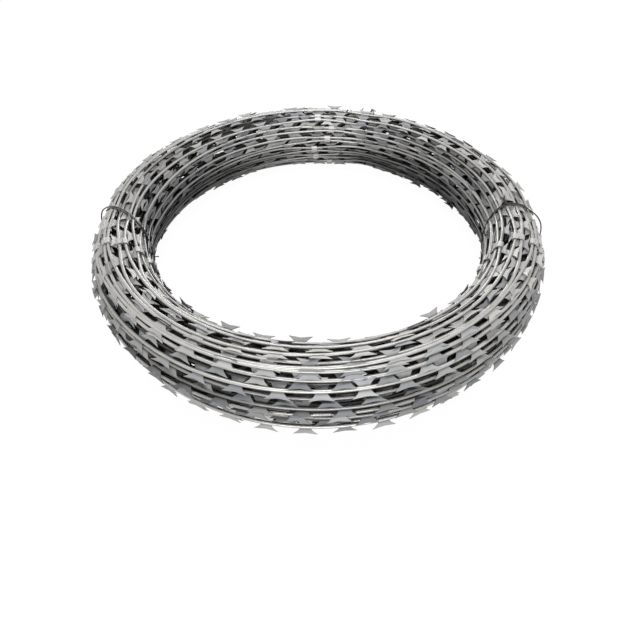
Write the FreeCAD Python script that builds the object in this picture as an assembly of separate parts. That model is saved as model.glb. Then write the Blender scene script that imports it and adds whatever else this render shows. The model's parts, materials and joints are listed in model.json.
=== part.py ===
"""Concertina razor wire coil, tied flat as it is delivered.

The coil lies on the ground with its axis along +Z. The origin is on the ground, on the axis.
All sizes are in millimetres.
"""
import FreeCAD
import Part
import math
import os

Vector = FreeCAD.Vector

# Whole coil, from barb tip to barb tip
coil_outside_diameter = 500.0
bundle_width = 63.5
bundle_height = 89.0
bundle_roundness = 2.15

# Razor tape, wound so that each turn laps over the next
tape_width = 15.0
tape_lap_step = 2.4
turns_per_corner = 3
strip_thickness = 0.5

# Barbs, flared plates that stand out past the free edges of the turns
barb_pitch = 33.0
barb_length = 20.0
barb_root_length = 10.0
barb_reach = 5.0
barb_seat = 1.0
barb_sink = 0.25
barb_stand_off = 2.0
barb_clearance = 1.0
barb_stagger = 0.37

# Tie wires that hold the turns together for transport
tie_wire_diameter = 1.5
tie_clearance = 0.3
tie_channel_clearance = 0.2
tie_twist_diameter = 2.8
tie_twist_length = 11.0
tie_neck_length = 2.2
tie_twist_rise_angle = 84.0
tie_azimuths = {"left": -172.0, "right": -8.0, "rear": 72.0}
wire_sides = 6

# Concertina clips, each crimped over two neighbouring turns
clip_thickness = 1.0
clip_width = 9.0
clip_length = 24.0
clip_hook_length = 1.3
clip_clearance = 0.3
clip_stagger_angle = 3.5
clip_azimuths = {"left": -156.0, "right": -26.0, "rear": 88.0}

# Sizes that follow from those above
half_width = bundle_width / 2.0
half_height = bundle_height / 2.0
half_tape = tape_width / 2.0
strip_half_width = half_width - barb_stand_off
strip_half_height = half_height - barb_stand_off
centre_radius = coil_outside_diameter / 2.0 - half_width
tie_wire_radius = tie_wire_diameter / 2.0
outline_samples = 400


def corner_outline():
    """Sample the strips' rounded corner, an oval quadrant, from the top turn to the outer turn."""
    start_angle = math.acos((half_tape / strip_half_width) ** (bundle_roundness / 2.0))
    end_angle = math.asin((half_tape / strip_half_height) ** (bundle_roundness / 2.0))
    points = []
    for index in range(outline_samples + 1):
        angle = start_angle + (end_angle - start_angle) * index / outline_samples
        across = strip_half_width * math.cos(angle) ** (2.0 / bundle_roundness)
        along = strip_half_height * math.sin(angle) ** (2.0 / bundle_roundness)
        points.append((across, along))
    return points


def outward(point):
    """Unit normal of the strips' outline at a point given from the section's centre."""
    power = bundle_roundness - 1.0
    across = (point[0] / strip_half_width) ** power / strip_half_width
    along = (point[1] / strip_half_height) ** power / strip_half_height
    length = math.hypot(across, along)
    return across / length, along / length


def moved_out(point, distance):
    """The point moved along the outline's normal."""
    normal = outward(point)
    return point[0] + normal[0] * distance, point[1] + normal[1] * distance


def along_corner(distances):
    """Points on the corner's outline at the given distances from its upper end."""
    outline = corner_outline()
    lengths = [0.0]
    for first, second in zip(outline, outline[1:]):
        lengths.append(lengths[-1] + math.dist(first, second))
    points = []
    for wanted in distances:
        index = min(range(len(lengths)), key=lambda place: abs(lengths[place] - wanted))
        points.append(outline[index])
    return points


def corner_length():
    """Length of the strips' outline along one corner."""
    outline = corner_outline()
    return sum(math.dist(first, second) for first, second in zip(outline, outline[1:]))


def turn_edges():
    """Places where one turn of tape laps over the next, evenly spaced along the corner."""
    spacing = corner_length() / turns_per_corner
    return along_corner([spacing * turn for turn in range(turns_per_corner + 1)])


def lapped_corner():
    """Section of one corner: the top turn's edge, the lapped turns, the outer turn's edge."""
    edges = turn_edges()
    points = [(half_tape, half_height)]
    for start, end in zip(edges, edges[1:]):
        points.append(start)
        points.append(moved_out(end, -tape_lap_step))
    points.append((half_width, half_tape))
    return points


def all_round(corner):
    """Carry one corner's points round the whole section by mirroring it, in order."""
    upper_outer = list(corner)
    lower_outer = [(across, -along) for across, along in reversed(corner)]
    lower_inner = [(-across, -along) for across, along in corner]
    upper_inner = [(-across, along) for across, along in reversed(corner)]
    return upper_outer + lower_outer + lower_inner + upper_inner


def in_section(point):
    """A section point in the plane through the coil's axis, as radius and height."""
    return Vector(centre_radius + point[0], 0.0, half_height + point[1])


def polygon_face(points):
    """Flat face with straight edges through the section points."""
    corners = [in_section(point) for point in points]
    return Part.Face(Part.makePolygon(corners + corners[:1]))


def turned_to(shape, azimuth):
    """Copy of the shape swung round the coil's axis."""
    copy = shape.copy()
    copy.rotate(Vector(0, 0, 0), Vector(0, 0, 1), azimuth)
    return copy


def thick_plate(face, thickness):
    """Plate of the face's outline, with the section plane in its middle."""
    plate = face.extrude(Vector(0.0, thickness, 0.0))
    plate.translate(Vector(0.0, -thickness / 2.0, 0.0))
    return plate


def tie_corner(distance):
    """One corner of a tight wire's way over the turns' edges, moved out from its centre line."""
    over_edges = tie_clearance + tie_wire_radius + distance
    middle = [moved_out(point, over_edges) for point in turn_edges()[1:-1]]
    sunk = distance - tie_wire_radius
    return [(half_tape, half_height + sunk)] + middle + [(half_width + sunk, half_tape)]


def tie_channel():
    """Band that clears a tie wire's way through the top, bottom, outer and bore turns."""
    outer = polygon_face(all_round(tie_corner(tie_wire_diameter)))
    inner = polygon_face(all_round(tie_corner(-tie_wire_radius - tie_channel_clearance)))
    return thick_plate(outer.cut(inner), tie_wire_diameter + 2.0 * tie_clearance)


def barbed_edges():
    """Free edges of the upper and outer turns, each with the way its tape's face points."""
    edges = turn_edges()
    top_edge = ((half_tape, half_height), (1.0, 0.0))
    outer_edge = ((half_width, half_tape), (0.0, 1.0))
    lapped_edges = []
    for start, end in zip(edges[1:-1], edges[2:]):
        tuck = moved_out(end, -tape_lap_step)
        face_length = math.dist(start, tuck)
        way = ((start[0] - tuck[0]) / face_length, (start[1] - tuck[1]) / face_length)
        lapped_edges.append((start, way))
    return [top_edge] + lapped_edges + [outer_edge]


def barb(edge, way):
    """One flared barb in the plane of its tape, narrow at the strip and wide at its points."""
    along = Vector(way[0], 0.0, way[1])
    normal = Vector(way[1], 0.0, -way[0])
    if normal.x * edge[0] + normal.z * edge[1] < 0.0:
        normal = normal * -1.0
    side = Vector(0.0, 1.0, 0.0)
    start = in_section(edge) - normal * barb_sink
    root = start - along * barb_seat
    tip = start + along * barb_reach
    corners = [root - side * (barb_root_length / 2.0), tip - side * (barb_length / 2.0),
               tip + side * (barb_length / 2.0), root + side * (barb_root_length / 2.0)]
    return Part.Face(Part.makePolygon(corners + corners[:1])).extrude(normal * -strip_thickness)


def stands_clear(azimuth, radius):
    """Whether a barb there is free of the tie wires and clips, which press barbs flat."""
    holders = [(place, tie_twist_diameter) for place in tie_azimuths.values()]
    holders += [(place, clip_width) for place in clip_azimuths.values()]
    for place, width in holders:
        apart = abs((azimuth - place + 180.0) % 360.0 - 180.0)
        if math.radians(apart) * radius < (barb_length + width) / 2.0 + barb_clearance:
            return False
    return True


def barb_row(row, edge, way):
    """Barbs round one edge at the tape's pitch, each row shifted against the last."""
    radius = centre_radius + edge[0]
    count = round(2.0 * math.pi * radius / barb_pitch)
    pattern = barb(edge, way)
    azimuths = [360.0 * (place + row * barb_stagger) / count for place in range(count)]
    return [turned_to(pattern, azimuth) for azimuth in azimuths if stands_clear(azimuth, radius)]


def coil_body():
    """The wound turns as one turned ring, with its barbs and a channel for each tie wire."""
    section = polygon_face(all_round(lapped_corner()))
    ring = section.revolve(Vector(0, 0, 0), Vector(0, 0, 1), 360.0)
    for azimuth in tie_azimuths.values():
        ring = ring.cut(turned_to(tie_channel(), azimuth))
    barbs = []
    for row, (edge, way) in enumerate(barbed_edges()):
        barbs += barb_row(row, edge, way)
    return ring.fuse(barbs)


def mitre_ring(before, here, after):
    """Corners of the wire's section on the mitre plane between two straight runs."""
    run_in = (here - before).normalize()
    run_out = (after - here).normalize()
    mitre = (run_in + run_out).normalize()
    side = Vector(0.0, 1.0, 0.0)
    out = side.cross(mitre)
    stretch = 1.0 / mitre.dot(run_in)
    corners = []
    for index in range(wire_sides):
        angle = 2.0 * math.pi * (index + 0.5) / wire_sides
        across = out * (math.cos(angle) * tie_wire_radius * stretch)
        corners.append(here + across + side * (math.sin(angle) * tie_wire_radius))
    return corners


def wire_loop(path):
    """Closed wire along straight runs, as a solid with mitred corners."""
    rings = []
    for index, here in enumerate(path):
        rings.append(mitre_ring(path[index - 1], here, path[(index + 1) % len(path)]))
    faces = []
    for index, ring in enumerate(rings):
        following = rings[(index + 1) % len(rings)]
        for corner in range(wire_sides):
            after = (corner + 1) % wire_sides
            quad = [ring[corner], ring[after], following[after], following[corner]]
            faces.append(Part.Face(Part.makePolygon(quad + quad[:1])))
    return Part.Solid(Part.Shell(faces))


def prism_along(start, direction, diameter, length):
    """Straight length of wire or twist with as many flat sides as the loop."""
    corners = []
    for index in range(wire_sides + 1):
        angle = 2.0 * math.pi * index / wire_sides
        corners.append(Vector(math.cos(angle), math.sin(angle), 0.0) * (diameter / 2.0))
    prism = Part.Face(Part.makePolygon(corners)).extrude(Vector(0.0, 0.0, length))
    prism.Placement = FreeCAD.Placement(start, FreeCAD.Rotation(Vector(0, 0, 1), direction))
    return prism


def tie_wire():
    """Tie wire round the bundle with its twisted ends standing off the upper outer corner."""
    path = [in_section(point) for point in all_round(tie_corner(0.0))]
    start = in_section(tie_corner(0.0)[-2])
    angle = math.radians(tie_twist_rise_angle)
    direction = Vector(math.cos(angle), 0.0, math.sin(angle))
    neck = prism_along(start, direction, tie_wire_diameter, tie_neck_length)
    twist_start = start + direction * (tie_neck_length - tie_wire_radius)
    twist = prism_along(twist_start, direction, tie_twist_diameter, tie_twist_length)
    return wire_loop(path).fuse([neck, twist]).removeSplitter()


def clip(across_sign, along_sign):
    """Clip over two neighbouring turns of one corner, hooked down behind the first."""
    spacing = corner_length() / turns_per_corner
    edges = along_corner([spacing, spacing * 2.0, spacing + clip_length])
    inner = [moved_out(point, clip_clearance) for point in edges]
    outer = [moved_out(point, clip_clearance + clip_thickness) for point in edges]
    normal = outward(edges[0])
    back = (-normal[1], normal[0])
    hook_corners = []
    for behind, down in ((clip_clearance, -clip_clearance), (clip_clearance, clip_hook_length),
                         (clip_clearance + clip_thickness, clip_hook_length),
                         (clip_clearance + clip_thickness, -clip_clearance - clip_thickness)):
        hook_corners.append((edges[0][0] + back[0] * behind - normal[0] * down,
                             edges[0][1] + back[1] * behind - normal[1] * down))
    corners = inner[1:] + outer[:0:-1] + hook_corners[::-1]
    mirrored = [(across * across_sign, along * along_sign) for across, along in corners]
    return thick_plate(polygon_face(mirrored), clip_width)


def clip_group(azimuth):
    """The clips that show at one place round the coil, staggered as the turns are."""
    upper_outer = turned_to(clip(1, 1), azimuth)
    upper_inner = turned_to(clip(-1, 1), azimuth - clip_stagger_angle)
    lower_outer = turned_to(clip(1, -1), azimuth + clip_stagger_angle)
    return Part.makeCompound([upper_outer, upper_inner, lower_outer])


def save(shape, name):
    """Write one node's shape."""
    shape.exportStep("parts/" + name + ".step")


os.makedirs("parts", exist_ok=True)
save(coil_body(), "razor_tape_coil")
for side, side_azimuth in tie_azimuths.items():
    save(turned_to(tie_wire(), side_azimuth), "tie_wire_" + side)
for side, side_azimuth in clip_azimuths.items():
    save(clip_group(side_azimuth), "clips_" + side)
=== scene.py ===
"""Concertina razor wire coil, tied flat for transport: one strand of razor tape wound 56 times,
with its clips and tie wires. Lengths are in metres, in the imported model's own frame."""
import json
import math

import bpy
import numpy as np
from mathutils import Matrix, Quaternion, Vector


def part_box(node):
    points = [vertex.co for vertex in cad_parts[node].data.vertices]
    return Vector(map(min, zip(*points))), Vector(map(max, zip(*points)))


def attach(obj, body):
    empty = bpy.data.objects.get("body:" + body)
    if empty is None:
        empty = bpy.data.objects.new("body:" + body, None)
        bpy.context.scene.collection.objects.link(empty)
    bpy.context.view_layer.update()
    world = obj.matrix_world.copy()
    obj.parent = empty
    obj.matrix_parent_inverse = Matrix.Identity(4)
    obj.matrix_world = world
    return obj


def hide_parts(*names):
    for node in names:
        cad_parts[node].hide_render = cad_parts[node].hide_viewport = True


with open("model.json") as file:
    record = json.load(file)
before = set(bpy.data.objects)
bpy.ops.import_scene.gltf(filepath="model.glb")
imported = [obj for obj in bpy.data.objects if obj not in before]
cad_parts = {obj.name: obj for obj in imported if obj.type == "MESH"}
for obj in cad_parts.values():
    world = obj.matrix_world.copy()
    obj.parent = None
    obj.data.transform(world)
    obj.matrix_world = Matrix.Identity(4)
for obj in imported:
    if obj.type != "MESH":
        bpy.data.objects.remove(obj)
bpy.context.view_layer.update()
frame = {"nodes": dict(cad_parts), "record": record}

mm = 0.001
tau = 2.0 * math.pi

# Whole coil, read from the frame
eye = next(mount for mount in frame["record"]["mounts"] if mount["name"] == "eye")
coil_low, coil_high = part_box("razor_tape_coil")
outer_radius = coil_high.x
half_width = (outer_radius - eye["dims"]["r_mm"] * mm) / 2.0
half_height = (coil_high.z - coil_low.z) / 2.0
centre_radius = outer_radius - half_width
bundle_roundness = 2.15
front_azimuth = -tau / 4.0
rear_azimuth = tau / 4.0

# The strand's winding: turns in each layer, and how deep each layer's core wires lie
layer_turns = (28, 20, 6, 2)
layer_depths = (3.6 * mm, 9.2 * mm, 15.8 * mm, 22.5 * mm)
layer_change_turns = 0.18
way_step = 0.006
samples_per_turn = 360
turn_wander = 3.2 * mm
depth_wander = 1.2 * mm
level_dip = 0.6
bunching = 0.006
lap_tilt = math.radians(-16.0)
tilt_wander = math.radians(15.0)
tone_wander = 0.25

# Slowest and fastest waves in a turn of each of the strand's wanders
place_pace = (0.4, 2.6)
depth_pace = (0.4, 3.0)
tilt_pace = (0.5, 4.0)
standing_pace = (0.8, 3.0)
sweep_pace = (0.4, 2.2)
tone_pace = (0.5, 6.0)

# Where turns stand on edge, so that their barbs reach out: share of the section's outline, reach
# of it, tilt in degrees, the middle and half the width of the stretch of azimuth, and how deep
raised_turns = ((0.05, 0.06, -50.0, 0.0, 400.0, 2.4 * mm),
                (0.90, 0.08, -24.0, -90.0, 85.0, 0.0),
                (0.36, 0.05, 22.0, -90.0, 85.0, 0.5 * mm),
                (0.16, 0.05, 34.0, 90.0, 75.0, 0.5 * mm),
                (0.62, 0.06, 40.0, 90.0, 90.0, 0.5 * mm))

# Round the front, between the side clips, the turns crowd together at the bundle's upper edge
crowd_share = 0.215
crowd_strength = 0.32
crowd_start = math.radians(-156.0)
crowd_full = math.radians(-124.0)
crowd_ease = math.radians(-58.0)
crowd_end = math.radians(-26.0)

# Painted shade, darker and bluer: where on the outline and how far each patch reaches, and how strong
# it is
flank_share, flank_reach, flank_shade_strength = 0.08, 0.15, 0.8
top_share, top_reach, top_shade_strength = 0.3, 0.2, 0.7
wall_share, wall_reach, wall_shade_strength, wall_rear_relief = 0.56, 0.15, 1.1, 0.95
patch_reach = math.radians(55.0)

# Painted shade on the eye's lower wall, less of it at the rear
lower_wall_shade_share, lower_wall_shade_reach, lower_wall_shade_strength, lower_wall_shade_rear_relief = 0.6, 0.13, 0.9, 0.75
lower_wall_shade_rear_reach = math.radians(30.0)

# Razor tape
tape_width = 15.0 * mm
strip_thickness = 0.5 * mm
bead_radius = 1.5 * mm
bead_half_width = 1.65 * mm
# Painted shade in the crease where the bead meets the plates
crease_shade_strength = 0.75
barb_pitch = 33.0 * mm
barb_length = 20.5 * mm
barb_root_length = 8.8 * mm
barb_flare = 1.6
barb_drop = 0.2 * mm
barb_sweep = math.radians(4.0)
sweep_wander = math.radians(9.0)
barb_bend = math.radians(11.0)
barb_curl = 0.6 * mm
barb_notch = 1.3 * mm
barb_seat = 0.7
barb_tone, barb_tone_spread = 0.3, 0.22
# Beads are given a lighter tone than the plates: painted highlight
bead_highlight_tone = 0.6

# Clips, crimped over pairs of neighbouring turns at three places round the coil: azimuth at the
# bundle's top, how far the bundle's outer side is ahead of it, and how much they are out of line
clip_places = {"clips_rear": (88.0, 0.5, 4.5), "clips_left": (202.0, -4.0, 0.6),
               "clips_right": (336.0, 4.0, 1.2)}
clip_thickness = 0.8 * mm
clip_width = 8.0 * mm
clip_gap = 0.7 * mm
clip_curl_radius = 0.7 * mm
clip_reach = 0.024
clip_hold = 1.6
clip_grip = 0.9

# Tie wires: azimuth at the bundle's middle, slant in degrees per millimetre of radius and of
# height, how deep and how far bowed out at the outer side, where on the bundle the ends are
# twisted, and which way the twist points: outwards, on round, over
ties = {"tie_wire_left": (-175.0, -0.17, -0.08, 1.3 * mm, 4.6 * mm, 140.0, (0.15, 0.2, 0.95)),
        "tie_wire_right": (-6.2, -0.03, 0.06, 1.3 * mm, 4.6 * mm, 108.0, (0.25, 0.95, 0.2)),
        "tie_wire_rear": (70.0, 0.04, 0.0, 4.4 * mm, 1.0 * mm, 56.0, (0.75, -0.6, 0.3))}
tie_wire_radius = 0.7 * mm
tie_squeeze = 0.07
tie_squeeze_reach = math.radians(8.0)
tie_spread = 3.0 * mm
tie_twist_length = 12.0 * mm
tie_twist_turns = 2.6

# Curled wire ends beside the tie wires: azimuth, place on the bundle in degrees, length, curl
# radius in millimetres, turns, and which way each one points: outwards, on round, over
wire_ends = {"tie_wire_left": ((-167.5, 188.0, 7.0, 2.2, 1.3, (0.5, 0.6, 0.6)),),
             "tie_wire_right": ((-3.6, 106.0, 6.0, 1.6, 1.2, (0.2, -0.9, 0.3)),
                                (-12.0, 166.0, 7.0, 2.0, 1.4, (0.4, 0.7, 0.5)),
                                (-17.0, 184.0, 6.0, 1.8, 1.2, (0.4, -0.5, 0.7))),
             "tie_wire_rear": ((72.0, 60.0, 8.0, 2.2, 1.4, (0.6, 0.5, 0.5)),
                               (68.5, 62.0, 7.0, 1.7, 1.6, (0.7, -0.2, 0.6)),
                               (76.5, 79.0, 9.0, 2.1, 1.7, (0.2, 0.9, 0.4)),
                               (79.0, 114.0, 8.0, 2.1, 1.5, (0.3, -0.8, 0.4)),
                               (68.3, 147.0, 8.0, 1.6, 1.3, (0.4, 0.7, -0.5)),
                               (78.0, 196.0, 8.0, 2.0, 1.6, (0.3, 0.8, 0.2)))}

random = np.random.default_rng(56)


def smooth_step(start, end, value):
    """0 before start, 1 after end, and 3x² - 2x³ between them."""
    share = np.clip((value - start) / (end - start), 0.0, 1.0)
    return share * share * (3.0 - 2.0 * share)


def bell(apart, reach):
    """Bell curve: exp(-(apart / reach)²)."""
    return np.exp(-(apart / reach) ** 2)


def aside(azimuth, place):
    """Angle from a place to an azimuth, at most half a turn either way."""
    return (azimuth - place + math.pi) % tau - math.pi


def wander(position, slowest, fastest, waves=7):
    """Sum of sine waves of random pace and start, about 1 high, along a position in turns."""
    paces = random.uniform(slowest, fastest, waves)
    starts = random.uniform(0.0, tau, waves)
    return np.sin(tau * np.multiply.outer(position, paces) + starts).sum(axis=-1) / math.sqrt(waves)


def unit(vectors):
    """Vectors made one long."""
    return vectors / np.linalg.norm(vectors, axis=-1, keepdims=True)


def oval(wide, high, angle):
    """Superellipse: x = a·|cos t|^(2/n), z = b·|sin t|^(2/n), each with the sign of its wave."""
    power = 2.0 / bundle_roundness
    across = wide * np.sign(np.cos(angle)) * np.abs(np.cos(angle)) ** power
    along = high * np.sign(np.sin(angle)) * np.abs(np.sin(angle)) ** power
    return across, along


def oval_table(depth):
    """Share of the oval's length reached at each angle from its outermost point, and its length."""
    angles = np.linspace(0.0, tau, 4001)
    across, along = oval(half_width - depth, half_height - depth, angles)
    shares = np.concatenate([[0.0], np.cumsum(np.hypot(np.diff(across), np.diff(along)))])
    return shares / shares[-1], angles, shares[-1]


table_shares, table_angles, outline_length = oval_table(layer_depths[0])


def outline(share, depth, squeeze):
    """Section point at a share of the outline's length and a depth below it, its way and normal."""
    def place(at):
        angle = np.interp(at % 1.0, table_shares, table_angles)
        across, along = oval(half_width - depth, half_height - depth, angle)
        return np.stack([across * squeeze, along * squeeze], axis=-1)

    way = unit(place(share + way_step) - place(share - way_step))
    normal = np.stack([way[..., 1], -way[..., 0]], axis=-1)
    return place(share), way, normal


def crowded(azimuth, share):
    """Share after crowding: s - k·sin(4π(s - c))/4π, which packs the turns closer about c."""
    rise = np.clip((azimuth - crowd_start) / (crowd_full - crowd_start), 0.0, 1.0)
    fall = np.clip((crowd_end - azimuth) / (crowd_end - crowd_ease), 0.0, 1.0)
    strength = crowd_strength * np.sin(np.minimum(rise, fall) * tau / 4.0)
    return share - strength * np.sin(2.0 * tau * (share - crowd_share)) / (2.0 * tau)


def bundle_squeeze(azimuth):
    """The tie wires pull the bundle in, by a bell curve about each."""
    pull = np.zeros_like(azimuth)
    for setting in ties.values():
        pull += tie_squeeze * bell(aside(azimuth, math.radians(setting[0])), tie_squeeze_reach)
    return 1.0 - pull


def in_coil(section, azimuth):
    """Section points set at an azimuth round the coil's axis."""
    radius = centre_radius + section[..., 0]
    height = coil_low.z + half_height + section[..., 1]
    return np.stack([radius * np.cos(azimuth), radius * np.sin(azimuth), height], axis=-1)


def in_coil_way(section_way, azimuth):
    """A direction of the section plane, turned to an azimuth."""
    radial = section_way[..., 0]
    return np.stack([radial * np.cos(azimuth), radial * np.sin(azimuth), section_way[..., 1]], axis=-1)


class Strand:
    """The wound strand's centre line: a helix round the bundle's oval section, layer by layer,
    with the turns' own wander, crowding and tilt, drawn together in pairs at the clips."""

    def __init__(self):
        turns = sum(layer_turns)
        self.turn = np.linspace(0.0, turns, turns * samples_per_turn + 1)
        azimuth = (self.turn * tau + math.pi) % tau - math.pi
        ends = np.concatenate([[0], np.cumsum(layer_turns)])
        share = np.interp(self.turn, ends, np.arange(len(ends)))
        depth = np.full_like(self.turn, layer_depths[0])
        for end, upper, lower in zip(ends[1:], layer_depths, layer_depths[1:]):
            depth += (lower - upper) * smooth_step(end, end + layer_change_turns, self.turn)
        pull, free = self.clip_pull()
        spacing = np.interp(self.turn, ends[1:], 1.0 / np.array(layer_turns))
        drawn = spacing / 2.0 - (bead_radius + clip_gap) / outline_length
        strayed = free * turn_wander / outline_length * wander(self.turn, *place_pace)
        share = share + drawn * pull + strayed
        three_bunches = np.sin(tau * 3.0 * share + 1.3 * np.cos(azimuth))
        five_bunches = np.sin(tau * 5.0 * share + 3.45)
        share = share + bunching * (three_bunches + five_bunches)
        share = np.where(self.turn < layer_turns[0], crowded(azimuth, share), share)
        dips = (1.0 + wander(self.turn, *depth_pace)) ** 2 / 2.0
        depth = depth + free * depth_wander * (dips - level_dip)
        tilt = lap_tilt + free * tilt_wander * wander(self.turn, *tilt_pace)
        for at, reach, raised, middle, width, deeper in raised_turns:
            apart = ((share - at + 0.5) % 1.0 - 0.5) / reach
            off = aside(azimuth, math.radians(middle)) / math.radians(width)
            standing = smooth_step(-2.0, 0.0, wander(self.turn, *standing_pace))
            standing = np.exp(-apart ** 2 - off ** 4) * standing
            tilt = tilt + math.radians(raised) * standing
            depth = depth + deeper * standing
        place, way, normal = outline(share, depth, bundle_squeeze(azimuth))
        self.centre = in_coil(place, azimuth)
        self.ahead = unit(np.gradient(self.centre, axis=0))
        side = in_coil_way(way * np.cos(tilt)[:, None] + normal * np.sin(tilt)[:, None], azimuth)
        self.side = unit(side - self.ahead * (side * self.ahead).sum(axis=-1, keepdims=True))
        self.up = np.cross(self.ahead, self.side)
        self.sweep = barb_sweep + sweep_wander * wander(self.turn, *sweep_pace)
        self.tone = self.tone_and_painted_shade(azimuth, share)
        # Painted shade: the deeper a turn lies below the surface layer the darker its colour, plus
        # painted shade on the eye's lower wall
        sunk = (depth - layer_depths[0]) / (layer_depths[1] - layer_depths[0])
        self.depth = np.clip(sunk + self.lower_wall_shade(azimuth, share), 0.0, 1.0)
        steps = np.linalg.norm(np.diff(self.centre, axis=0), axis=-1)
        self.along = np.concatenate([[0.0], np.cumsum(steps)])

    def tone_and_painted_shade(self, azimuth, share):
        """Random tone in drifting patches, less painted shade, darker and bluer, on the front flank,
        the rear's top and the eye's wall: bell curves of azimuth and of the share of the outline."""
        flank = bell((share - flank_share + 0.5) % 1.0 - 0.5, flank_reach)
        top = bell(share % 1.0 - top_share, top_reach)
        wall = bell(share % 1.0 - wall_share, wall_reach)
        front = bell(aside(azimuth, front_azimuth), patch_reach)
        rear = bell(azimuth - rear_azimuth, patch_reach)
        # Painted shade: darker, bluer colour on the front flank, the rear's top and the eye's wall
        painted_darkening = flank_shade_strength * flank * front + top_shade_strength * top * rear
        painted_darkening = painted_darkening + (wall_shade_strength - wall_rear_relief * rear) * wall
        return tone_wander * wander(self.turn, *tone_pace) - painted_darkening

    def lower_wall_shade(self, azimuth, share):
        """Painted shade on the eye's lower wall, by a bell curve of the share of the outline, less by
        one of the azimuth.
        """
        rear = bell(azimuth - rear_azimuth, lower_wall_shade_rear_reach)
        return bell(share % 1.0 - lower_wall_shade_share, lower_wall_shade_reach) * (lower_wall_shade_strength - lower_wall_shade_rear_relief * rear)

    def clip_pull(self):
        """Towards the next turn (1) or the last (-1) at each clip, and 0 to 1 how free it is."""
        pull = np.zeros_like(self.turn)
        held = np.zeros_like(self.turn)
        for cluster, (azimuth, lead, uneven) in enumerate(clip_places.values()):
            number = np.round(self.turn - azimuth / 360.0)
            pair = number - (number + cluster) % 2
            apart = self.turn - number - clip_turn(pair, azimuth, lead, uneven)
            pull += bell(apart, clip_reach) * np.where((number + cluster) % 2 == 0, 1.0, -1.0)
            held += bell(apart / clip_reach, clip_hold)
        return pull, 1.0 - np.clip(held, 0.0, 1.0) * clip_grip

    def length_at(self, turn):
        """Length of strand wound up to a turn."""
        return np.interp(turn, self.turn, self.along)

    def read(self, values, length):
        """A sampled quantity at given lengths along the strand."""
        if values.ndim == 1:
            return np.interp(length, self.along, values)
        return np.stack([np.interp(length, self.along, values[:, axis]) for axis in range(3)], axis=-1)

    def place(self, length, across, proud):
        """Points at a length along the strand, a distance across the tape and one above it."""
        side = unit(self.read(self.side, length))
        up = unit(self.read(self.up, length))
        return self.read(self.centre, length) + side * across[..., None] + up * proud[..., None]


def kept_in_box(points):
    """Barbs at the ground, the top and the outside are pressed flat against what they meet."""
    points = points.copy()
    points[:, 2] = np.clip(points[:, 2], coil_low.z, coil_high.z)
    radius = np.hypot(points[:, 0], points[:, 1])
    points[:, :2] *= (np.clip(radius, 0.0, outer_radius * 0.9998) / radius)[:, None]
    return points


def new_piece(name, part, material, node_name):
    """Mesh object from arrays of points and four-cornered faces, riding on the coil."""
    points, faces, tones, rounded = part
    points = kept_in_box(points)
    mesh = bpy.data.meshes.new(name)
    mesh.vertices.add(len(points))
    mesh.vertices.foreach_set("co", points.astype(np.float32).ravel())
    mesh.loops.add(faces.size)
    mesh.loops.foreach_set("vertex_index", faces.astype(np.int32).ravel())
    mesh.polygons.add(len(faces))
    mesh.polygons.foreach_set("loop_start", np.arange(len(faces), dtype=np.int32) * 4)
    mesh.polygons.foreach_set("use_smooth", rounded)
    mesh.update(calc_edges=True)
    # depth carries painted shade; tone carries random tone, painted shade patches and the beads'
    # painted highlight
    for layer_name, values in zip(("depth", "tone", "bead"), tones.T):
        layer = mesh.attributes.new(layer_name, "FLOAT", "POINT")
        layer.data.foreach_set("value", values.astype(np.float32))
    mesh.materials.append(material)
    piece = bpy.data.objects.new(name, mesh)
    bpy.context.collection.objects.link(piece)
    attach(piece, "root")
    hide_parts(node_name)
    return piece


def joined(parts):
    """Several sets of points, faces, tones and rounding as one."""
    offsets = np.cumsum([0] + [len(part[0]) for part in parts[:-1]])
    faces = [part[1] + offset for part, offset in zip(parts, offsets)]
    columns = [np.concatenate([part[index] for part in parts]) for index in (0, 2, 3)]
    return columns[0], np.concatenate(faces), columns[1], columns[2]


def grid_faces(rows, columns, closed_rows=False, closed_columns=False):
    """Four-cornered faces of a grid of points, row by row, closed on itself where asked."""
    row = np.arange(rows if closed_rows else rows - 1)[:, None]
    column = np.arange(columns if closed_columns else columns - 1)[None, :]
    next_row = (row + 1) % rows
    next_column = (column + 1) % columns
    corners = [row * columns + column, row * columns + next_column,
               next_row * columns + next_column, next_row * columns + column]
    return np.stack(np.broadcast_arrays(*corners), axis=-1).reshape(-1, 4)


def rod_faces(rows, sides):
    """Faces of a rod of rings of points: its skin, and strips of faces that close both ends."""
    strip = np.arange(sides // 2 - 1)
    cap = np.stack([strip, strip + 1, sides - 2 - strip, sides - 1 - strip], axis=-1)
    skin = grid_faces(rows, sides, closed_columns=True)
    return np.concatenate([skin, cap[:, ::-1], cap + (rows - 1) * sides])


def bead(strand, start, end, sides, steps_per_barb):
    """The tape crimped round its core wire: an ellipse of points carried along the strand, with
    painted shade on its lower half, where 1 - sin is large."""
    steps = int(round((end - start) / barb_pitch * steps_per_barb))
    length = np.linspace(start, end, steps + 1)[:, None]
    angle = (np.arange(sides) * tau / sides)[None, :]
    length, angle = np.broadcast_arrays(length, angle)
    points = strand.place(length, bead_half_width * np.cos(angle), bead_radius * np.sin(angle))
    painted_crease_shade = crease_shade_strength * smooth_step(0.6, 1.2, 1.0 - np.sin(angle))
    depths = np.clip(strand.read(strand.depth, length) + painted_crease_shade, 0.0, 1.0).ravel()
    faces = rod_faces(steps + 1, sides)
    tones = np.stack([depths, np.full_like(depths, bead_highlight_tone), np.ones_like(depths)], axis=-1)
    return points.reshape(-1, 3), faces, tones, np.ones(len(faces), dtype=bool)


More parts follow.
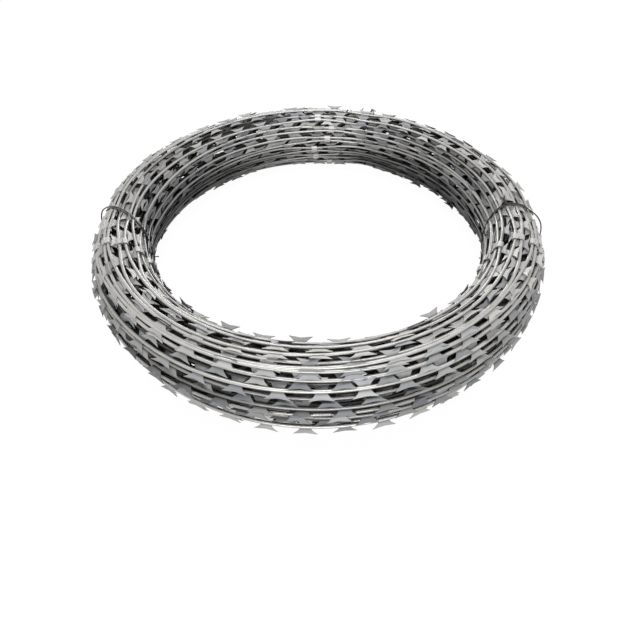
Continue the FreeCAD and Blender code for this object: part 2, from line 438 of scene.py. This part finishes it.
def barb_template(across_cells, along_cells):
    """One flared plate as a closed thin grid: it reaches from the bead to the tape's edge, its
    half length grows from the root's to the barb's as v^flare, and a flat notch between its two
    points grows as v³. Top, underside, then rim."""
    share = np.linspace(0.0, 1.0, across_cells + 1)[:, None] ** 0.8
    sway = np.linspace(-1.0, 1.0, along_cells + 1)[None, :]
    half = (barb_root_length + (barb_length - barb_root_length) * share ** barb_flare) / 2.0
    along = half * sway
    seat = bead_half_width * barb_seat
    across = seat + (tape_width / 2.0 - seat) * share
    across = across - barb_notch * share ** 3 * (1.0 - np.abs(sway))
    rows, columns = across_cells + 1, along_cells + 1
    top = grid_faces(rows, columns)
    under = top[:, ::-1] + rows * columns
    ring = np.concatenate([np.arange(columns), np.arange(1, rows) * columns + columns - 1,
                           (rows - 1) * columns + np.arange(columns - 2, -1, -1),
                           np.arange(rows - 2, 0, -1) * columns])
    after = np.roll(ring, -1)
    rim = np.stack([after, ring, ring + rows * columns, after + rows * columns], axis=-1)
    edge = np.broadcast_to(share, along.shape)
    return along.ravel(), across.ravel(), edge.ravel(), np.concatenate([top, under, rim])


def barbs(strand, start, end, across_cells, along_cells):
    """Barbs on both sides of the tape at its pitch, each plate bent and curled a little."""
    first = math.ceil(start / barb_pitch - 0.5)
    last = math.ceil(end / barb_pitch - 0.5)
    centre = (np.arange(first, last) + 0.5) * barb_pitch
    along, across, edge, faces = barb_template(across_cells, along_cells)
    plates, block = len(centre), 2 * len(along)
    parts = []
    for hand in (1.0, -1.0):
        bend = (random.normal(0.0, barb_bend, plates) - strand.read(strand.sweep, centre))[:, None]
        curl = random.normal(0.0, barb_curl, plates)[:, None]
        tone = random.normal(barb_tone, barb_tone_spread, plates) + strand.read(strand.tone, centre)
        tone = tone[:, None, None]
        length = centre[:, None] + along[None, :]
        lift = across * np.tan(bend) + curl * edge ** 2 - barb_drop
        reach = np.broadcast_to(across * hand, lift.shape)
        half = strip_thickness / 2.0
        points = np.stack([strand.place(length, reach, lift + half),
                           strand.place(length, reach, lift - half)], axis=1)
        # Painted shade in the crease at each plate's root, added to the depth attribute's painted
        # shade
        depths = strand.read(strand.depth, length)[:, None, :] + crease_shade_strength * (edge < 0.1)
        tones = np.stack(np.broadcast_arrays(depths, tone, 0.0 * points[..., 0]), axis=-1)
        turned = faces if hand > 0.0 else faces[:, ::-1]
        shifted = (turned[None, :, :] + (np.arange(plates) * block)[:, None, None]).reshape(-1, 4)
        flat = np.zeros(len(shifted), dtype=bool)
        parts.append((points.reshape(-1, 3), shifted, tones.reshape(-1, 3), flat))
    return joined(parts)


def tape_turns(strand, name, first_turn, last_turn, fine, material):
    """A stretch of the strand, bead and barbs together."""
    start, end = strand.length_at(first_turn), strand.length_at(last_turn)
    sides, steps = (8, 6) if fine else (6, 4)
    cells = (3, 2) if fine else (2, 1)
    part = joined([bead(strand, start, end, sides, steps), barbs(strand, start, end, *cells)])
    return new_piece(name, part, material, "razor_tape_coil")


def clip_turn(number, azimuth, lead, uneven):
    """Part of a turn at which a pair's clip sits: azimuth + lead·cos of the place round the
    bundle + uneven·sin(2.4·number)."""
    leading = lead * np.cos(tau * number / layer_turns[0])
    return (azimuth + leading + uneven * np.sin(2.4 * number)) / 360.0


def clip_path(half_apart):
    """Section of a clip round two beads: a flat oval whose two ends meet on top and curl out."""
    radius = bead_radius + clip_gap + clip_thickness / 2.0
    curl = np.radians(np.linspace(150.0, 0.0, 5))
    bend = np.linspace(0.0, math.pi, 9)
    root = clip_curl_radius + clip_thickness / 2.0 + 0.1 * mm
    curl_x = np.broadcast_to(clip_curl_radius * np.sin(curl) - root, (len(half_apart), len(curl)))
    curl_y = np.broadcast_to(radius + clip_curl_radius * (1.0 - np.cos(curl)), curl_x.shape)
    bend_x = -half_apart[:, None] - radius * np.sin(bend)
    bend_y = np.broadcast_to(radius * np.cos(bend), bend_x.shape)
    x = np.concatenate([curl_x, bend_x], axis=1)
    y = np.concatenate([curl_y, bend_y], axis=1)
    return np.concatenate([x, -x[:, ::-1]], axis=1), np.concatenate([y, y[:, ::-1]], axis=1)


def clip_band(strand, azimuth, lead, uneven, cluster):
    """Every clip of one cluster on the surface layer: a strip bent round two paired turns."""
    numbers = np.arange(layer_turns[0] - 1)
    numbers = numbers[(numbers + cluster) % 2 == 0]
    at = numbers + clip_turn(numbers, azimuth, lead, uneven)
    first, second = strand.length_at(at), strand.length_at(at + 1.0)
    one, two = strand.read(strand.centre, first), strand.read(strand.centre, second)
    ahead = unit(strand.read(strand.ahead, first) + strand.read(strand.ahead, second))
    apart = two - one
    half_apart = np.linalg.norm(apart, axis=-1) / 2.0
    side = unit(apart - ahead * (apart * ahead).sum(axis=-1, keepdims=True))
    up = np.cross(ahead, side)
    x, y = clip_path(half_apart)
    way = unit(np.stack([np.gradient(x, axis=1), np.gradient(y, axis=1)], axis=-1))
    corners = []
    for along, thick in ((-0.5, -0.5), (0.5, -0.5), (0.5, 0.5), (-0.5, 0.5)):
        across = (x + way[..., 1] * thick * clip_thickness)[..., None]
        above = (y - way[..., 0] * thick * clip_thickness)[..., None]
        corner = (one + two)[:, None, :] / 2.0 + side[:, None, :] * across + up[:, None, :] * above
        corners.append(corner + ahead[:, None, :] * (along * clip_width))
    points = np.stack(corners, axis=2)
    count, steps = x.shape
    faces = rod_faces(steps, 4)
    faces = (faces[None] + (np.arange(count) * steps * 4)[:, None, None]).reshape(-1, 4)
    tones = np.zeros((count * steps * 4, 3))
    return points.reshape(-1, 3), faces, tones, np.zeros(len(faces), dtype=bool)


def wire(points, reference, radius, closed=False, sides=8):
    """Round wire along a path of points: a circle of points square to the path at each."""
    if closed:
        ahead = unit(np.roll(points, -1, axis=0) - np.roll(points, 1, axis=0))
    else:
        ahead = unit(np.gradient(points, axis=0))
    side = unit(np.cross(reference, ahead))
    up = np.cross(ahead, side)
    angle = (np.arange(sides) * tau / sides)[None, :, None]
    circle = side[:, None, :] * np.cos(angle) + up[:, None, :] * np.sin(angle)
    skin = points[:, None, :] + radius * circle
    faces = grid_faces(len(points), sides, True, True) if closed else rod_faces(len(points), sides)
    skin = skin.reshape(-1, 3)
    return skin, faces, np.zeros((len(skin), 3)), np.ones(len(faces), dtype=bool)


def round_bundle(angle, azimuth, slant, fall, depth, offset=0.0):
    """Path of a tie wire: the bundle's oval, squeezed, slanting in azimuth with radius and height."""
    across, along = oval(half_width - depth, half_height - depth, angle)
    section = np.stack([across, along], axis=-1) * (1.0 - tie_squeeze)
    turned = math.radians(azimuth) + math.radians(slant) * across / mm
    turned = turned + math.radians(fall) * (along - half_height) / mm
    ahead = np.stack([-np.sin(turned), np.cos(turned), np.zeros_like(turned)], axis=-1)
    return in_coil(section, turned) + ahead * np.reshape(offset, (-1, 1))


def stance(azimuth, slant, fall, depth, foot, pointing):
    """Foot of a wire end on the bundle, its outward way, its own way and the way across it."""
    middle = math.radians(azimuth)
    on_round = np.array([-math.sin(middle), math.cos(middle), 0.0])
    base, after = round_bundle(np.radians([foot, foot + 2.0]), azimuth, slant, fall, depth)
    outwards = unit(base - in_coil(np.zeros(2), np.array(middle)))
    lean = unit(pointing[0] * outwards + pointing[1] * on_round + pointing[2] * unit(after - base))
    return base, outwards, lean, unit(np.cross(lean, outwards))


def wire_end(azimuth, foot, length, size, turns, pointing):
    """A loose end of tie wire: a widening corkscrew that starts on the bundle."""
    base, outwards, lean, across = stance(azimuth, 0.0, 0.0, 1.5 * mm, foot, pointing)
    step = np.linspace(0.0, 1.0, 36)[:, None]
    turn = step * tau * turns
    above = np.cross(across, lean)
    path = base + lean * length * mm * step
    path = path + size * mm * np.sqrt(step) * (across * np.cos(turn) + above * np.sin(turn))
    return wire(path, lean, tie_wire_radius * 0.85, sides=6)


def tie(name, azimuth, slant, fall, depth, outer_bow, foot, pointing, ends, material):
    """Tie wire: once round the bundle, doubled over the top, and its ends twisted together."""
    base, outwards, lean, across = stance(azimuth, slant, fall, depth, foot, pointing)
    middle = math.radians(azimuth)
    on_round = np.array([-math.sin(middle), math.cos(middle), 0.0])
    angle = np.linspace(0.0, tau, 120, endpoint=False)
    bow = outer_bow * np.exp(-((angle - math.radians(28.0)) / math.radians(26.0)) ** 2)
    loop = round_bundle(angle, azimuth, slant, fall, depth - bow)
    parts = [wire(loop, on_round, tie_wire_radius, True)]
    angle = np.radians(np.linspace(48.0, 150.0, 40))
    spread = tie_spread * np.sin(np.linspace(0.12, 1.0, 40) * math.pi)
    double = round_bundle(angle, azimuth, slant, fall, depth, spread)
    parts.append(wire(double, on_round, tie_wire_radius))
    above = np.cross(across, lean)
    step = np.linspace(0.0, 1.0, 60)[:, None]
    splay = tie_wire_radius * (1.05 + 2.2 * smooth_step(0.8, 1.0, step))
    for start in (0.0, math.pi):
        turn = step * tau * tie_twist_turns + start
        path = base + outwards * tie_wire_radius + lean * tie_twist_length * step
        path = path + splay * (across * np.cos(turn) + above * np.sin(turn))
        parts.append(wire(path, lean, tie_wire_radius, sides=6))
    parts += [wire_end(*end) for end in ends]
    return new_piece(name, joined(parts), material, name.replace("tie_loop", "tie_wire"))


class Shade:
    """A shader socket that takes part in sums: each operator adds its Math node."""

    def __init__(self, tree, socket):
        self.tree = tree
        self.socket = socket

    def math(self, operation, *values):
        return add_node(self.tree, "ShaderNodeMath", {"operation": operation}, values)

    def __add__(self, other):
        return self.math("ADD", self, other)

    def __mul__(self, other):
        return self.math("MULTIPLY", self, other)

    def __sub__(self, other):
        return self.math("SUBTRACT", self, other)

    def __rsub__(self, other):
        return self.math("SUBTRACT", other, self)

    __radd__ = __add__
    __rmul__ = __mul__


def add_node(tree, kind, settings, values, output=0):
    """Node of a kind, with its settings made first and its sockets fed by values or links."""
    node = tree.nodes.new(kind)
    for name, setting in settings.items():
        setattr(node, name, setting)
    pairs = values.items() if isinstance(values, dict) else enumerate(values)
    for key, value in pairs:
        if isinstance(value, Shade):
            tree.links.new(value.socket, node.inputs[key])
        else:
            node.inputs[key].default_value = value
    return Shade(tree, node.outputs[output])


def new_material(name):
    """Empty material with its principled shader and the object's own coordinates."""
    material = bpy.data.materials.new(name)
    material.use_nodes = True
    tree = material.node_tree
    surface = tree.nodes["Principled BSDF"]
    place = add_node(tree, "ShaderNodeTexCoord", {}, {}, output="Object")
    return material, tree, surface, place


def galvanized(name, dark, light, roughness, metallic):
    """Zinc-coated steel: each barb of its own tone, mottled, with painted shade from the depth
    attribute.
    """
    material, tree, surface, place = new_material(name)
    mottle = add_node(tree, "ShaderNodeTexNoise", {}, {"Vector": place, "Scale": 90.0, "Detail": 3.0})
    grain = add_node(tree, "ShaderNodeTexNoise", {}, {"Vector": place, "Scale": 900.0, "Detail": 2.0})
    depth = add_node(tree, "ShaderNodeAttribute", {"attribute_name": "depth"}, {}, output="Fac")
    tone = add_node(tree, "ShaderNodeAttribute", {"attribute_name": "tone"}, {}, output="Fac")
    rounded = add_node(tree, "ShaderNodeAttribute", {"attribute_name": "bead"}, {}, output="Fac")
    # Tone picks between dark and light zinc: random tone, painted shade patches and the beads' painted
    # highlight
    blend = add_node(tree, "ShaderNodeMix", {"data_type": "RGBA"},
                     {"Factor": 0.5 + 0.5 * tone, "A": (*dark, 1.0), "B": (*light, 1.0)},
                     output="Result")
    # Painted shade: the depth attribute darkens deep turns, the creases beside the beads and the eye's
    # lower wall
    level = (0.84 + 0.32 * mottle) * (1.0 - depth * 0.96)
    colour = add_node(tree, "ShaderNodeVectorMath", {"operation": "SCALE"},
                      {"Vector": blend, "Scale": level})
    tree.links.new(colour.socket, surface.inputs["Base Color"])
    tree.links.new((roughness + 0.1 * grain - 0.22 * rounded).socket, surface.inputs["Roughness"])
    bump = add_node(tree, "ShaderNodeBump", {},
                    {"Strength": 0.08, "Distance": 0.0002, "Height": grain})
    tree.links.new(bump.socket, surface.inputs["Normal"])
    surface.inputs["Metallic"].default_value = metallic
    return material


def annealed_wire():
    """Black annealed iron wire: dull, nearly black, with faint scale."""
    material, tree, surface, place = new_material("black annealed wire")
    scale = add_node(tree, "ShaderNodeTexNoise", {}, {"Vector": place, "Scale": 400.0, "Detail": 3.0})
    colour = add_node(tree, "ShaderNodeVectorMath", {"operation": "SCALE"},
                      {"Vector": (0.040, 0.039, 0.038), "Scale": 0.6 + 0.8 * scale})
    tree.links.new(colour.socket, surface.inputs["Base Color"])
    tree.links.new((0.4 + 0.2 * scale).socket, surface.inputs["Roughness"])
    surface.inputs["Metallic"].default_value = 0.6
    return material


def seen_directly(tree):
    """1 for camera, glossy and transmission rays, which see the plain white surroundings."""
    rays = tree.nodes.new("ShaderNodeLightPath")
    seen = Shade(tree, rays.outputs["Is Camera Ray"]) + Shade(tree, rays.outputs["Is Glossy Ray"])
    return seen + Shade(tree, rays.outputs["Is Transmission Ray"])


def add_stage():
    """White ground that shows as the plain backdrop and keeps a light shadow of the coil."""
    mesh = bpy.data.meshes.new("ground")
    reach = 6.0
    corners = [(-reach, -reach, 0.0), (reach, -reach, 0.0), (reach, reach, 0.0), (-reach, reach, 0.0)]
    mesh.from_pydata(corners, [], [(0, 1, 2, 3)])
    ground = bpy.data.objects.new("ground", mesh)
    bpy.context.collection.objects.link(ground)
    material = bpy.data.materials.new("white ground")
    material.use_nodes = True
    tree = material.node_tree
    tree.nodes.clear()
    seen = seen_directly(tree)
    white = add_node(tree, "ShaderNodeEmission", {},
                     {"Color": (1.0, 1.0, 1.0, 1.0), "Strength": 1.03})
    level = 0.15 + 0.75 * seen
    grey = add_node(tree, "ShaderNodeCombineColor", {}, (level, level, level))
    paper = add_node(tree, "ShaderNodeBsdfDiffuse", {}, {"Color": grey})
    mixed = add_node(tree, "ShaderNodeMixShader", {}, (seen * 0.94, paper, white))
    output = tree.nodes.new("ShaderNodeOutputMaterial")
    tree.links.new(mixed.socket, output.inputs["Surface"])
    mesh.materials.append(material)


def add_world(strength):
    """Even surroundings that light softly and are seen as plain white."""
    world = bpy.data.worlds.new("studio")
    bpy.context.scene.world = world
    world.use_nodes = True
    tree = world.node_tree
    tree.nodes.clear()
    level = strength + (1.0 - strength) * seen_directly(tree)
    background = add_node(tree, "ShaderNodeBackground", {},
                          {"Color": (1.0, 1.0, 1.0, 1.0), "Strength": level})
    output = tree.nodes.new("ShaderNodeOutputWorld")
    tree.links.new(background.socket, output.inputs["Surface"])


def add_light(name, place, size, power):
    """Rectangular lamp that faces the coil's middle."""
    lamp = bpy.data.lights.new(name, "AREA")
    lamp.shape = "RECTANGLE"
    lamp.size, lamp.size_y = size
    lamp.energy = power
    holder = bpy.data.objects.new(name, lamp)
    bpy.context.collection.objects.link(holder)
    x, y, z = place
    holder.location = place
    holder.rotation_euler = (math.atan2(math.hypot(x, y), z - half_height), 0.0, math.atan2(x, -y))


# Camera, fitted to the coil's outlines, in parts of the outer radius and image pixels
camera_elevation = math.radians(37.89)
camera_distance = 2.21
camera_dip = math.radians(2.66)
camera_yaw = math.radians(0.28)
camera_roll = math.radians(-0.65)
image_width = 640.0
focal_pixels = 465.5
axis_row = 245.0
sensor_width = 36.0


def add_camera():
    """Camera at the photograph's viewing angle, with its axis above the picture's middle."""
    data = bpy.data.cameras.new("camera")
    data.sensor_width = sensor_width
    data.lens = focal_pixels / image_width * sensor_width
    data.shift_y = (axis_row - image_width / 2.0) / image_width
    data.clip_start = 0.01
    holder = bpy.data.objects.new("camera", data)
    bpy.context.collection.objects.link(holder)
    away = camera_distance * outer_radius
    holder.location = (0.0, -away * math.cos(camera_elevation),
                       half_height + away * math.sin(camera_elevation))
    holder.rotation_mode = "QUATERNION"
    turn = Quaternion((0.0, 0.0, 1.0), -camera_yaw)
    tip = Quaternion((1.0, 0.0, 0.0), math.pi / 2.0 - camera_elevation - camera_dip)
    roll = Quaternion((0.0, 0.0, 1.0), camera_roll)
    holder.rotation_quaternion = turn @ tip @ roll
    bpy.context.scene.camera = holder


add_camera()
add_stage()
add_world(0.25)
add_light("overhead", (0.0, 0.05, 1.5), (1.3, 0.4), 18.0)
add_light("front", (0.0, -1.6, 0.4), (1.4, 0.35), 22.0)
add_light("rear", (0.0, 1.6, 0.4), (1.4, 0.35), 13.0)

tape_finish = galvanized("galvanized tape", dark=(0.12, 0.134, 0.158), light=(0.50, 0.487, 0.46),
                         roughness=0.46, metallic=0.32)
clip_finish = galvanized("galvanized clip", dark=(0.40, 0.395, 0.38), light=(0.52, 0.51, 0.49),
                         roughness=0.4, metallic=0.32)
tie_finish = annealed_wire()

strand = Strand()
turn_stretches = [("tape_turns_surface_a", 0, 9, True), ("tape_turns_surface_b", 9, 18, True),
                  ("tape_turns_surface_c", 18, layer_turns[0], True),
                  ("tape_turns_inside_a", layer_turns[0], 42, False),
                  ("tape_turns_inside_b", 42, sum(layer_turns), False)]
for stretch_name, first, last, fine in turn_stretches:
    tape_turns(strand, stretch_name, first, last, fine, tape_finish)
for cluster, (node_name, place) in enumerate(clip_places.items()):
    band = clip_band(strand, *place, cluster)
    new_piece(node_name.replace("clips", "clip_bands"), band, clip_finish, node_name)
for node_name, setting in ties.items():
    tie(node_name.replace("tie_wire", "tie_loop"), *setting, wire_ends[node_name], tie_finish)

for node_name, node in frame["nodes"].items():
    finish = tape_finish
    if node_name.startswith("tie"):
        finish = tie_finish
    elif node_name.startswith("clips"):
        finish = clip_finish
    for place in node.material_slots:
        place.material = finish

bpy.context.scene.view_settings.view_transform = "Standard"
